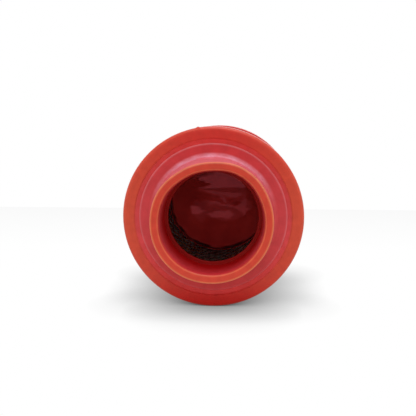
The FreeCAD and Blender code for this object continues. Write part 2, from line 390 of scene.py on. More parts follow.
@dataclass(frozen=True)
class ExpandedMetal(Finish):
    """Slit and stretched steel sheet with a thin dark coating, duller where the coating is thick."""

    coating: str = "5A5450"
    worn: str = "8A8074"
    patch_mm: float = 5.0
    coated_roughness: float = 0.55
    worn_roughness: float = 0.35
    grain_mm: float = 0.4
    grain_depth_mm: float = 0.03
    grain_share: float = 0.3
    bare_share: float = 0.35

    def draw(self, tree: Tree, shader: ShaderNode, where: Socket) -> None:
        """Metal in two tones, with roughness that follows them."""
        patch = cloud(tree, where, self.patch_mm, 5.0)
        tone = add_node(
            tree, "ValToRGB", inputs={"Fac": patch}, stops=[(0.35, self.coating), (0.7, self.worn)]
        )
        tree.links.new(tone.outputs["Color"], shader.inputs["Base Color"])
        rough = add_node(
            tree,
            "MapRange",
            inputs={"Value": patch, "To Min": self.coated_roughness, "To Max": self.worn_roughness},
        )
        tree.links.new(rough.outputs["Result"], shader.inputs["Roughness"])
        grain = cloud(tree, where, self.grain_mm, 2.0)
        roughen(tree, shader, grain, self.grain_depth_mm, self.grain_share)
        shader.inputs["Metallic"].default_value = self.bare_share


@dataclass(frozen=True)
class FilterPaper(Finish):
    """Resin-treated cellulose paper: orange-brown, matte and fibrous."""

    light: str = "D99A50"
    dark: str = "BC7430"
    cloud_mm: float = 6.0
    fibre_mm: float = 0.35
    fibre_depth_mm: float = 0.06
    fibre_share: float = 0.4
    roughness: float = 0.85
    ior: float = 1.45

    def draw(self, tree: Tree, shader: ShaderNode, where: Socket) -> None:
        """Cloudy tone and fibres drawn a few times coarser than real, so that they show."""
        tones = cloud(tree, where, self.cloud_mm, 6.0)
        tone = add_node(
            tree, "ValToRGB", inputs={"Fac": tones}, stops=[(0.3, self.dark), (0.7, self.light)]
        )
        tree.links.new(tone.outputs["Color"], shader.inputs["Base Color"])
        fibres = cloud(tree, where, self.fibre_mm, 4.0)
        roughen(tree, shader, fibres, self.fibre_depth_mm, self.fibre_share)
        shader.inputs["Roughness"].default_value = self.roughness
        shader.inputs["IOR"].default_value = self.ior


@dataclass(frozen=True)
class HotMelt(Finish):
    """Hot-melt adhesive, cooled in air: cream, waxy and a little translucent."""

    light: str = "E8DDB8"
    dark: str = "D3C08C"
    cloud_mm: float = 4.0
    roughness: float = 0.35
    depth_share: float = 0.15
    depth_mm: float = 1.5

    def draw(self, tree: Tree, shader: ShaderNode, where: Socket) -> None:
        """A waxy cream with slow changes of tone."""
        tones = cloud(tree, where, self.cloud_mm, 3.0)
        tone = add_node(
            tree, "ValToRGB", inputs={"Fac": tones}, stops=[(0.3, self.dark), (0.7, self.light)]
        )
        tree.links.new(tone.outputs["Color"], shader.inputs["Base Color"])
        shader.inputs["Roughness"].default_value = self.roughness
        shader.inputs["Subsurface Weight"].default_value = self.depth_share
        shader.inputs["Subsurface Scale"].default_value = self.depth_mm * MM


@dataclass(frozen=True)
class LightTable(Finish):
    """Opal board lit from below: white all over, with a painted shadow that greys it where the element
    stands close to it, and painted shade that dims it a little towards its back edge.
    """

    # painted shadow: how far the occlusion reaches, in millimetres, and how strongly it greys the board
    reach: float = 45.0
    depth: float = 0.8
    # painted shade: between these stations, in millimetres, the glow falls a little towards the back edge
    even_to: float = 200.0
    far_edge: float = 473.0
    far_glow: float = 0.95

    def draw(self, tree: Tree, shader: ShaderNode, where: Socket) -> None:
        """An even glow, with a painted shadow from how much of the space above is taken, and a little
        dimmer towards the back edge.
        """
        # painted shadow from ambient occlusion
        open_space = add_node(
            tree, "AmbientOcclusion", {"samples": 32}, {"Distance": self.reach * MM}
        )
        painted_shadow = add_node(
            tree, "Math", {"operation": "POWER"}, {0: open_space.outputs["AO"], 1: self.depth}
        )
        glow = add_node(
            tree,
            "MapRange",
            inputs={
                "Value": add_node(tree, "SeparateXYZ", inputs={"Vector": where}).outputs["Y"],
                "From Min": self.even_to * MM,
                "From Max": self.far_edge * MM,
                "To Min": 1.0,
                "To Max": self.far_glow,
            },
        )
        strength = add_node(
            tree,
            "Math",
            {"operation": "MULTIPLY"},
            {0: painted_shadow.outputs["Value"], 1: glow.outputs["Result"]},
        )
        shader.inputs["Base Color"].default_value = srgb("000000")
        shader.inputs["Specular IOR Level"].default_value = 0.0
        shader.inputs["Roughness"].default_value = 1.0
        shader.inputs["Emission Color"].default_value = srgb("FFFFFF")
        tree.links.new(strength.outputs["Value"], shader.inputs["Emission Strength"])


POLYURETHANE = MouldedPolyurethane("red_moulded_polyurethane")
POURED_SKIN = PouredPolyurethane("red_poured_polyurethane")
LINER_STEEL = ExpandedMetal("coated_expanded_steel")
PAPER = FilterPaper("resin_treated_paper")
ADHESIVE = HotMelt("hot_melt_adhesive")
BOARD = LightTable("opal_light_table")


# --- Shared mesh work ---


@dataclass(frozen=True)
class Corner:
    """A corner of a turned profile, in millimetres, and how far its rounding reaches along each side."""

    radius: float
    station: float
    reach: float = 0.0


def ramp_between(value: float, low: float, high: float) -> float:
    """A smooth step from 0 at low to 1 at high."""
    share = min(1.0, max(0.0, (value - low) / (high - low)))
    return share * share * (3 - 2 * share)


def round_off(
    mesh: Mesh,
    geom: list[bmesh.types.BMVert] | list[bmesh.types.BMEdge],
    reach_mm: float,
    segments: int,
    affect: str = "VERTICES",
) -> None:
    """Rounds corners or edges.

    Args:
        mesh: The mesh.
        geom: The vertices or edges to round.
        reach_mm: How far the rounding reaches along each side.
        segments: Its number of segments.
        affect: VERTICES or EDGES.
    """
    bmesh.ops.bevel(
        mesh,
        geom=geom,
        offset=reach_mm * MM,
        offset_type="OFFSET",
        segments=segments,
        profile=0.5,
        affect=affect,
        material=-1,
    )


def repeat_round(mesh: Mesh, pitch: float, count: int) -> None:
    """Copies a mesh about the element's axis.

    Args:
        mesh: The mesh.
        pitch: The angle from one copy to the next, in radians.
        count: How many there are in the end.
    """
    bmesh.ops.spin(
        mesh,
        geom=mesh.verts[:] + mesh.edges[:] + mesh.faces[:],
        cent=(0, 0, 0),
        axis=(0, 1, 0),
        angle=pitch * (count - 1),
        steps=count - 1,
        use_duplicate=True,
    )


def outline(corners: Iterable[Corner], closed: bool, round_steps: int = 4) -> Mesh:
    """Draws a profile as a wire in the XY plane and rounds its corners.

    Args:
        corners: The profile's corners, in order.
        closed: Whether the last corner joins the first.
        round_steps: The number of segments in each rounding.

    Returns:
        The wire.
    """
    mesh = bmesh.new()
    points = list(corners)
    verts = [mesh.verts.new((c.radius * MM, c.station * MM, 0)) for c in points]
    pairs = list(zip(verts, verts[1:]))
    if closed:
        pairs.append((verts[-1], verts[0]))
    for pair in pairs:
        mesh.edges.new(pair)
    for vert, corner in zip(verts, points):
        if corner.reach > 0:
            round_off(mesh, [vert], corner.reach, round_steps)
    return mesh


def divide_runs(mesh: Mesh, longest_mm: float) -> None:
    """Cuts every long edge into even parts.

    Args:
        mesh: The wire.
        longest_mm: The longest that a part may be.
    """
    for edge in list(mesh.edges):
        cuts = math.ceil(edge.calc_length() / (longest_mm * MM)) - 1
        if cuts > 0:
            bmesh.ops.subdivide_edges(mesh, edges=[edge], cuts=cuts)


def turn(mesh: Mesh, steps: int) -> None:
    """Spins a wire a full turn about the element's axis and closes its seam and poles.

    Args:
        mesh: The wire, in the XY plane.
        steps: The number of steps in the turn.
    """
    bmesh.ops.spin(
        mesh,
        geom=mesh.verts[:] + mesh.edges[:],
        cent=(0, 0, 0),
        axis=(0, 1, 0),
        angle=FULL_TURN,
        steps=steps,
        use_merge=True,
    )
    tidy(mesh)


def tidy(mesh: Mesh, gap_mm: float = 0.002) -> None:
    """Merges doubles and points every face outwards."""
    bmesh.ops.remove_doubles(mesh, verts=mesh.verts[:], dist=gap_mm * MM)
    bmesh.ops.recalc_face_normals(mesh, faces=mesh.faces[:])


def add_object(name: str, data: bpy.types.ID) -> bpy.types.Object:
    """Adds an object to the scene, at the origin."""
    added = bpy.data.objects.new(name, data)
    bpy.context.scene.collection.objects.link(added)
    return added


def place(
    mesh: Mesh,
    name: str,
    finishes: list[Finish],
    node: Node,
    smooth_angle: float = 35.0,
) -> None:
    """Turns a finished mesh into a piece of the element and reports it.

    Args:
        mesh: The mesh, in metres in the frame's axes. It is freed.
        name: The piece's name.
        finishes: Its materials, in the order of its faces' material numbers.
        node: The frame's node that it stands for.
        smooth_angle: Edges sharper than this many degrees stay crisp.
    """
    data = bpy.data.meshes.new(name)
    mesh.to_mesh(data)
    mesh.free()
    data.shade_smooth()
    data.set_sharp_from_angle(angle=math.radians(smooth_angle))
    for finish in finishes:
        data.materials.append(finish.build())
    piece = add_object(name, data)
    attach(piece, ROOT_BODY)
    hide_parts(node.value)
    log.info("%s: %d vertices, %d faces", name, len(data.vertices), len(data.polygons))


def angle_of(point: Vector) -> float:
    """The angle of a point about the axis, in radians, from +X towards +Z."""
    return math.atan2(point.z, point.x)


# --- End caps ---


@dataclass(frozen=True)
class Dent:
    """A place where the soft neck is pressed in by depth millimetres, or bulges if it is negative."""

    angle_deg: float
    depth: float
    core_deg: float
    spread_deg: float


@dataclass(frozen=True)
class Spot:
    """Where a point of the open cap lies, in millimetres and radians, and the zones that it is in."""

    radius: float
    station: float
    angle: float
    recess: float
    groove: float
    neck: float
    behind_mouth: float

    @property
    def sideways(self) -> float:
        """1 at the cap's left and right, 0 at its top and bottom."""
        return math.cos(self.angle) ** 2

    def near(self, radius: float, station: float, full: float, gone: float) -> float:
        """1 within full millimetres of a ring on the cap, falling to 0 at gone."""
        return 1 - ramp_between(math.hypot(self.radius - radius, self.station - station), full, gone)


@dataclass(frozen=True)
class Wear:
    """How strongly each mark shows on the open cap, from 0 to 1."""

    # painted pale highlight and sheen; on the ridge it weakens towards the bottom
    ridge_sheen: float = 0.9
    ridge_sheen_lost_below: float = 0.6
    root_sheen: float = 0.2
    neck_sheen: float = 0.5
    side_sheen: float = 0.16
    groove_sheen: float = 0.12
    groove_side_sheen: float = 0.25
    # painted lilac highlight on the upper side
    root_highlight: float = 0.5
    neck_highlight: float = 0.1
    lip_highlight: float = 0.35
    # paler edges, partly a paler skin and partly painted highlight; the land painted lighter at the sides
    lip_edge: float = 0.9
    bore_edge: float = 0.5
    rim_edge: float = 0.2
    mouth_edge: float = 0.15
    land_edge: float = 0.27
    # painted shade along the bottom of the flange
    rim_shade: float = 0.7
    # painted shade in the throat
    throat_shade: float = 0.5
    # painted light in the groove, weaker at the sides and towards the bottom
    groove_light_most: float = 0.6
    groove_light_lost_sideways: float = 0.2
    groove_light_lost_below: float = 0.45


@dataclass
class OpenEndCap:
    """The moulded cap with the flange, the stepped face and the sealing neck."""

    land_radius: float = 52.3
    land_rounding: float = 0.25
    slope_radius: float = 51.7
    slope_depth: float = 0.9
    slope_rounding: float = 0.2
    gutter_radius: float = 49.3
    gutter_depth: float = 2.3
    gutter_rounding: float = 0.15
    ridge_radius: float = 48.9
    ridge_rounding: float = 0.4
    face_recess: float = 1.8
    neck_base_radius: float = 39.6
    neck_root_reach: float = 3.2
    neck_mouth_radius: float = 38.5
    mouth_rounding: float = 0.7
    mouth_bore_radius: float = 33.2
    mouth_bore_rounding: float = 1.0
    lead_in_length: float = 3.3
    lead_in_rounding: float = 0.8
    bore_radius: float = 32.4
    bore_end_rounding: float = 0.3
    lip_radius: float = 30.1
    lip_start: float = 4.3
    lip_end: float = 6.3
    lip_rounding: float = 0.6
    web_depth: float = 8.0
    pocket_depth: float = 5.0
    pocket_outer: float = 56.4
    pocket_inner: float = 40.4
    rim_rounding: float = 2.0
    skirt_rounding: float = 0.8
    longest_run: float = 0.8
    turn_steps: int = 192
    nib_angle_deg: float = 98.6
    nib_half_deg: float = 1.0
    nib_height: float = 0.8
    nib_inside_rim: float = 0.8
    nib_back: float = 1.8
    flare: float = 0.55
    lean_mm: tuple[float, float] = (0.5, 0.6)
    dents: tuple[Dent, ...] = (
        Dent(109.0, 1.0, 12.0, 44.0),
        Dent(52.0, -0.7, 4.0, 34.0),
        Dent(222.0, -0.5, 8.0, 50.0),
    )
    # where the painted sheen lies at the neck's root: radius and station, in millimetres
    root_sheen_ring: tuple[float, float] = (41.2, 0.8)
    # where the painted lilac highlight lies at the neck's root: radius and station, in millimetres
    root_highlight_ring: tuple[float, float] = (41.1, 1.2)
    rim_edge_inset: float = 0.6
    lip_edge_inset: float = 0.3
    # patch size of the painted lilac highlight
    highlight_patch_mm: float = 5.0
    # depth below the axis, in millimetres, where the painted shade along the bottom of the flange starts
    shade_from: float = 38.0
    # station, in millimetres, where the painted shade in the throat starts
    deep_shade_from: float = 2.5
    wear: Wear = Wear()

    def corners(self) -> list[Corner]:
        """The cap's profile, from the mouth round the flange and back through the bore."""
        low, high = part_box(Node.OPEN_CAP)
        mouth, skirt, rim = low.y / MM, high.y / MM, high.x / MM
        return [
            Corner(self.mouth_bore_radius, mouth, self.mouth_bore_rounding),
            Corner(self.neck_mouth_radius, mouth, self.mouth_rounding),
            Corner(self.neck_base_radius, self.face_recess, self.neck_root_reach),
            Corner(self.ridge_radius, self.face_recess, self.ridge_rounding),
            Corner(self.gutter_radius, self.gutter_depth, self.gutter_rounding),
            Corner(self.slope_radius, self.slope_depth, self.slope_rounding),
            Corner(self.land_radius, 0.0, self.land_rounding),
            Corner(rim, 0.0, self.rim_rounding),
            Corner(rim, skirt, self.skirt_rounding),
            Corner(self.pocket_outer, skirt),
            Corner(self.pocket_outer, self.pocket_depth),
            Corner(self.pocket_inner, self.pocket_depth),
            Corner(self.pocket_inner, self.web_depth),
            Corner(self.lip_radius, self.lip_end, self.lip_rounding),
            Corner(self.lip_radius, self.lip_start, self.lip_rounding),
            Corner(self.bore_radius, self.lip_start, self.bore_end_rounding),
            Corner(self.bore_radius, mouth + self.lead_in_length, self.lead_in_rounding),
        ]

    def settle(self, mesh: Mesh) -> None:
        """Leans, flares and dents the soft neck as storage has left it, most at its mouth.

        Args:
            mesh: The painted cap.
        """
        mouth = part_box(Node.OPEN_CAP)[0].y
        for vert in mesh.verts:
            along = ramp_between(self.face_recess * MM - vert.co.y, 0, self.face_recess * MM - mouth)
            if along == 0:
                continue
            change = self.flare
            for dent in self.dents:
                turned = math.degrees(angle_of(vert.co)) - dent.angle_deg
                aside = abs((turned + 180) % 360 - 180)
                change -= dent.depth * (1 - ramp_between(aside, dent.core_deg, dent.spread_deg))
            stretch = 1 + along * change * MM / math.hypot(vert.co.x, vert.co.z)
            vert.co.x = vert.co.x * stretch + along * self.lean_mm[0] * MM
            vert.co.z = vert.co.z * stretch + along * self.lean_mm[1] * MM

    def spot_at(self, point: Vector, mouth: float) -> Spot:
        """Finds the zones of the cap that a point is in.

        Args:
            point: The point, in metres.
            mouth: The mouth's station, in millimetres.

        Returns:
            The point's place and zones.
        """
        radius = math.hypot(point.x, point.z) / MM
        station = point.y / MM
        recess = 1 - ramp_between(radius, self.slope_radius - 0.5, self.land_radius)
        groove = ramp_between(radius, self.ridge_radius - 0.2, self.gutter_radius + 0.4)
        groove *= 1 - ramp_between(radius, self.land_radius - 0.4, self.land_radius + 0.3)
        neck = ramp_between(radius, self.bore_radius + 2, self.neck_mouth_radius) * recess
        neck *= 1 - ramp_between(station, -1.0, self.face_recess)
        behind_mouth = ramp_between(station, mouth + 0.3, mouth + 1.5)
        return Spot(radius, station, angle_of(point), recess, groove, neck, behind_mouth)

    def pale_sheen(self, spot: Spot) -> float:
        """A painted pale highlight and sheen along the ridge, strongest at the top, at the neck's root, on
        the neck and at the sides.
        """
        lower = ramp_between(-math.sin(spot.angle), 0.2, 1.0)
        on_ridge = self.wear.ridge_sheen - self.wear.ridge_sheen_lost_below * lower
        return max(
            on_ridge * spot.near(self.ridge_radius, self.face_recess, 0.1, 0.8),
            self.wear.root_sheen * spot.near(*self.root_sheen_ring, 0.3, 3.0),
            self.wear.neck_sheen * spot.neck * spot.behind_mouth,
            self.wear.side_sheen * spot.sideways * spot.recess * spot.behind_mouth,
            (self.wear.groove_sheen + self.wear.groove_side_sheen * spot.sideways) * spot.groove,
        )

    def lilac_highlight(self, spot: Spot, point: Vector, mouth: float) -> float:
        """A patchy painted lilac highlight on the upper side of the neck, its root and its lip."""
        upward = ramp_between(math.sin(spot.angle), 0.1, 1.0)
        coarse = noise.noise(point / (self.highlight_patch_mm * MM))
        patchy = 0.75 + 0.5 * coarse + 0.4 * noise.noise(point / MM)
        at_root = self.wear.root_highlight * spot.near(*self.root_highlight_ring, 0.8, 2.4)
        on_root_and_neck = max(at_root, self.wear.neck_highlight * spot.neck) * spot.behind_mouth
        at_lip = spot.near(self.neck_mouth_radius - self.lip_edge_inset, mouth, 0.2, 0.7)
        return max(on_root_and_neck, self.wear.lip_highlight * at_lip) * upward * patchy

    def thin_edge(self, spot: Spot, mouth: float, rim: float) -> float:
        """Paler, more orange edges, partly a paler skin and partly painted highlight, a paler mouth face,
        and the land painted lighter at the sides.
        """
        outer, inner = self.neck_mouth_radius, self.mouth_bore_radius
        return max(
            self.wear.lip_edge * spot.near(outer - self.lip_edge_inset, mouth, 0.2, 0.8),
            self.wear.bore_edge * spot.near(inner + self.lip_edge_inset, mouth, 0.2, 0.8),
            self.wear.rim_edge * spot.near(rim - self.rim_edge_inset, self.rim_edge_inset, 0.5, 1.8),
            self.wear.mouth_edge * (1 - spot.behind_mouth),
            self.wear.land_edge * spot.sideways * (1 - spot.recess),
        )

    def paint(self, mesh: Mesh) -> None:
        """Paints the marks while the neck is still round: the painted rosy sheen, pale sheen and lilac
        highlight, the paler edges, the painted light in the groove, and the painted shade in the bore, the
        throat and along the bottom of the flange.

        Args:
            mesh: The turned cap.
        """
        layers = {name: mesh.verts.layers.float.new(name) for name in MARKS}
        low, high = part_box(Node.OPEN_CAP)
        mouth, rim = low.y / MM, high.x / MM
        wear = self.wear
        for vert in mesh.verts:
            spot = self.spot_at(vert.co, mouth)
            inside = 1 - ramp_between(spot.radius, self.bore_radius + 1.0, self.bore_radius + 1.6)
            # towards the bottom of the flange, where painted shade darkens it and the groove's painted
            # light fades
            below = ramp_between(-vert.co.z / MM, self.shade_from, rim)
            # painted light in the groove, weaker at the sides and towards the bottom
            groove_light = wear.groove_light_most - wear.groove_light_lost_sideways * spot.sideways
            groove_light -= wear.groove_light_lost_below * below
            # painted rosy sheen over the recessed face, the neck and the bore
            vert[layers[ROSY_SHEEN]] = spot.recess * spot.behind_mouth
            # painted pale highlight and sheen
            vert[layers[PALE_SHEEN]] = self.pale_sheen(spot)
            # painted lilac highlight
            vert[layers[LILAC_HIGHLIGHT]] = self.lilac_highlight(spot, vert.co, mouth)
            # paler edges, partly a paler skin and partly painted highlight
            vert[layers[EDGE]] = self.thin_edge(spot, mouth, rim)
            # painted shade, growing deeper into the bore, and along the bottom of the flange
            vert[layers[PAINTED_SHADE]] = max(
                inside * ramp_between(spot.station, mouth + 2.0, mouth + 24.0),
                wear.rim_shade * below * (1 - spot.recess),
            )
            # painted shade in the throat
            deep_shading = ramp_between(spot.station, self.deep_shade_from, self.lip_start)
            vert[layers[DEEP_SHADE]] = wear.throat_shade * inside * deep_shading
            vert[layers[GROOVE_LIGHT]] = groove_light * spot.groove * spot.behind_mouth

    def leave_nib(self, mesh: Mesh) -> None:
        """Leaves a nib of flash where the mould was filled, on the flange's front rounding.

        Args:
            mesh: The turned cap.
        """
        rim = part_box(Node.OPEN_CAP)[1].x / MM
        for vert in mesh.verts:
            aside = abs(math.degrees(angle_of(vert.co)) - self.nib_angle_deg)
            at_rim = math.hypot(vert.co.x, vert.co.z) / MM > rim - self.nib_inside_rim
            if aside < self.nib_half_deg and at_rim and vert.co.y < self.nib_back * MM:
                vert.co.x *= 1 + self.nib_height / rim
                vert.co.z *= 1 + self.nib_height / rim

    def build(self) -> None:
        """Makes the cap."""
        mesh = outline(self.corners(), closed=True)
        divide_runs(mesh, self.longest_run)
        turn(mesh, self.turn_steps)
        self.leave_nib(mesh)
        self.paint(mesh)
        self.settle(mesh)
        place(mesh, "moulded_open_end", [POLYURETHANE], Node.OPEN_CAP)


@dataclass(frozen=True)
class Ripple:
    """A low swell in the cast floor: its middle, its two spreads and its height, in millimetres."""

    x: float
    z: float
    wide: float
    tall: float
    height: float


@dataclass
class ClosedEndCap:
    """The cap with the cast floor inside and the ring of stand-off pads outside."""

    floor_depth: float = 4.5
    pocket_depth: float = 10.0
    back_depth: float = 16.0
    pad_height: float = 2.5
    pad_inner: float = 46.5
    pad_outer: float = 54.0
    pad_count: int = 6
    pad_gap_deg: float = 10.3
    pad_rounding: float = 0.8
    dish_rim: float = 30.0
    dish_radius: float = 28.5
    dish_depth: float = 14.0
    dish_rounding: float = 0.8
    pocket_outer: float = 56.4
    pocket_inner: float = 40.4
    skirt_rounding: float = 0.8
    back_rounding: float = 2.5
    longest_run: float = 1.2
    turn_steps: int = 192
    unevenness: float = 0.05
    unevenness_mm: float = 4.0
    raggedness: float = 1.4
    rags: float = 14.0
    climb_width: float = 2.5
    # painted shade on the floor: how far inside the mesh it starts and where it is full, in millimetres
    deep_shade_width: tuple[float, float] = (3.0, 2.0)
    ripples: tuple[Ripple, ...] = (
        Ripple(5, -17, 11, 6, 1.15),
        Ripple(-13, 8, 9, 4, 0.65),
        Ripple(12, 8, 12, 9, 1.45),
        Ripple(27, -8, 6, 6, 0.75),
        Ripple(-23, -13, 6, 4.5, 0.8),
        Ripple(-18, -22, 5, 3.5, 0.6),
        Ripple(0, -26.5, 4, 1.8, 0.28),
    )

    def corners(self) -> list[Corner]:
        """The cap's profile, from the middle of the floor round the rim to the middle of the dish."""
        low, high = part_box(Node.CLOSED_CAP)
        start, rim = low.y / MM, high.x / MM
        back = start + self.back_depth
        return [
            Corner(0.0, start + self.floor_depth),
            Corner(self.pocket_inner, start + self.floor_depth),
            Corner(self.pocket_inner, start + self.pocket_depth),
            Corner(self.pocket_outer, start + self.pocket_depth),
            Corner(self.pocket_outer, start),
            Corner(rim, start, self.skirt_rounding),
            Corner(rim, back, self.back_rounding),
            Corner(self.pad_outer, back),
            Corner(self.pad_inner, back),
            Corner(self.dish_rim, back, self.dish_rounding),
            Corner(self.dish_radius, start + self.dish_depth, self.dish_rounding),
            Corner(0.0, start + self.dish_depth),
        ]

    def raise_pads(self, mesh: Mesh) -> None:
        """Raises the pads from the back face and rounds their edges.

        Args:
            mesh: The turned cap.
        """
        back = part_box(Node.CLOSED_CAP)[0].y + self.back_depth * MM
        ring = [
            face
            for face in mesh.faces
            if abs(face.calc_center_median().y - back) < FLAT
            and self.pad_inner * MM < math.hypot(*face.calc_center_median().xz) < self.pad_outer * MM
        ]
        step = FULL_TURN / self.pad_count
        half_gap = math.radians(self.pad_gap_deg) / 2
        pads = [
            face
            for face in ring
            if half_gap < angle_of(face.calc_center_median()) % step < step - half_gap
        ]
        raised = bmesh.ops.extrude_face_region(mesh, geom=pads)["geom"]
        tops = [item for item in raised if isinstance(item, bmesh.types.BMFace)]
        verts = {vert for face in tops for vert in face.verts}
        bmesh.ops.translate(mesh, verts=list(verts), vec=(0, self.pad_height * MM, 0))
        bmesh.ops.delete(mesh, geom=pads, context="FACES_ONLY")
        rims = [
            edge
            for edge in {edge for face in tops for edge in face.edges}
            if sum(face in tops for face in edge.link_faces) == 1
        ]
        round_off(mesh, rims, self.pad_rounding, 3, "EDGES")

    def swell(self, x: float, z: float) -> float:
        """How far the cast floor stands up at a point, all in millimetres.

        Args:
            x: The point's place across the floor.
            z: Its place up the floor.

        Returns:
            The height above the floor's level.
        """
        height = self.unevenness * noise.noise(Vector((x, 0, z)) / self.unevenness_mm)
        for ripple in self.ripples:
            far = ((x - ripple.x) / ripple.wide) ** 2 + ((z - ripple.z) / ripple.tall) ** 2
            height += ripple.height * math.exp(-far / 2)
        return height

    def pour_floor(self, mesh: Mesh) -> None:
        """Gives the cast floor its ripples, its ragged climb and painted shade at the mesh, and its skin.

        Args:
            mesh: The turned cap.
        """
        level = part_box(Node.CLOSED_CAP)[0].y + self.floor_depth * MM
        rim = self.pocket_inner * MM
        deep_shade_start, deep_shade_full = (self.pocket_inner - width for width in self.deep_shade_width)
        deep_shade = mesh.verts.layers.float.new(DEEP_SHADE)
        for face in mesh.faces:
            if all(abs(vert.co.y - level) < FLAT for vert in face.verts):
                face.material_index = 1
        for vert in mesh.verts:
            distance = math.hypot(vert.co.x, vert.co.z)
            if abs(vert.co.y - level) > FLAT or distance > rim - FLAT:
                continue
            ragged = self.raggedness * noise.noise(vert.co.normalized() * self.rags)
            climb = ramp_between(distance, rim - self.climb_width * MM, rim)
            vert.co.y -= self.swell(vert.co.x / MM, vert.co.z / MM) * MM
            vert.co.y -= max(0.0, ragged) * MM * climb
            # painted shade where the floor meets the mesh, ragged like the climb
            vert[deep_shade] = ramp_between(distance / MM + ragged, deep_shade_start, deep_shade_full)

    def build(self) -> None:
        """Makes the cap."""
        mesh = outline(self.corners(), closed=False)
        divide_runs(mesh, self.longest_run)
        turn(mesh, self.turn_steps)
        self.raise_pads(mesh)
        self.pour_floor(mesh)
        tidy(mesh)
        finishes = [POLYURETHANE, POURED_SKIN]
        place(mesh, "moulded_closed_end", finishes, Node.CLOSED_CAP)


# --- Filter pack ---


@dataclass
class ExpandedLiner:
    """A tube of expanded metal with a lapped, spot-welded seam."""

    node: Node
    name: str
    radius: float
    cells: int
    lap_angle_deg: float
    lap_step: float
    rows: int = 17
    lap_cells: int = 2
    strand: float = 1.15
    gauge: float = 0.5
    twist: float = 0.3
    blunting: float = 0.14
    tip_share: float = 0.9

    def lattice(self, columns: int, radius: float, first_turn: float) -> Mesh:
        """Lays out the diamonds of the slit sheet, staggered row by row.

        Args:
            columns: The number of diamonds across.
            radius: The sheet's middle radius, in millimetres.
            first_turn: The first column's angle, in radians.

        Returns:
            The diamonds as flat faces, welded where they meet.
        """
        low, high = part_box(self.node)
        pitch = (high.y - low.y) / self.rows
        cell = FULL_TURN / self.cells
        mesh = bmesh.new()
        bmesh.ops.create_circle(mesh, cap_ends=True, segments=4, radius=1.0)
        for vert in mesh.verts:
            turned = first_turn + vert.co.x * cell / 2
            out = radius * MM
            vert.co = Vector(
                (out * math.sin(turned), low.y + pitch / 2 + vert.co.y * pitch, out * math.cos(turned))
            )
        repeat_round(mesh, cell, columns)
        row = mesh.verts[:] + mesh.edges[:] + mesh.faces[:]
        for index in range(1, self.rows):
            copied = bmesh.ops.duplicate(mesh, geom=row)["geom"]
            verts = [item for item in copied if isinstance(item, bmesh.types.BMVert)]
            bmesh.ops.translate(mesh, verts=verts, vec=(0, index * pitch, 0))
            if index % 2:
                bmesh.ops.rotate(
                    mesh, verts=verts, cent=(0, 0, 0), matrix=Matrix.Rotation(cell / 2, 3, "Y")
                )
        bmesh.ops.remove_doubles(mesh, verts=mesh.verts[:], dist=WELD)
        return mesh

    def stretch(self, mesh: Mesh) -> None:
        """Opens the slits to leave strands, twists the strands and gives them the sheet's gauge.

        Args:
            mesh: The flat diamonds.
        """
        cells = mesh.faces[:]
        bmesh.ops.subdivide_edges(mesh, edges=mesh.edges[:], cuts=1)
        bmesh.ops.inset_individual(mesh, faces=cells, thickness=self.strand / 2 * MM, use_even_offset=True)
        for face in cells:
            middle = face.calc_center_median()
            across = Vector((middle.z, 0, -middle.x)).normalized()
            out = Vector((middle.x, 0, middle.z)).normalized()
            wide = max(abs((vert.co - middle).dot(across)) for vert in face.verts)
            long = max(abs(vert.co.y - middle.y) for vert in face.verts)
            for vert in face.verts:
                aside = (vert.co - middle).dot(across) / wide
                if max(abs(aside), abs(vert.co.y - middle.y) / long) > self.tip_share:
                    vert.co = vert.co.lerp(middle, self.blunting)
                vert.co += out * aside * self.twist * MM
        bmesh.ops.delete(mesh, geom=cells, context="FACES_ONLY")
        bmesh.ops.recalc_face_normals(mesh, faces=mesh.faces[:])
        bmesh.ops.solidify(mesh, geom=mesh.faces[:], thickness=self.gauge * MM)
        bmesh.ops.recalc_face_normals(mesh, faces=mesh.faces[:])

    def build(self) -> None:
        """Makes the tube and its lap as one piece."""
        tube = self.lattice(self.cells, self.radius, 0.0)
        self.stretch(tube)
        cell = FULL_TURN / self.cells
        start = math.radians(self.lap_angle_deg) - (self.lap_cells - 1) / 2 * cell
        lap = self.lattice(self.lap_cells, self.radius + self.lap_step, start + cell / 4)
        self.stretch(lap)
        data = bpy.data.meshes.new(self.name + "_lap")
        lap.to_mesh(data)
        lap.free()
        tube.from_mesh(data)
        bpy.data.meshes.remove(data)
        place(tube, self.name, [LINER_STEEL], self.node)


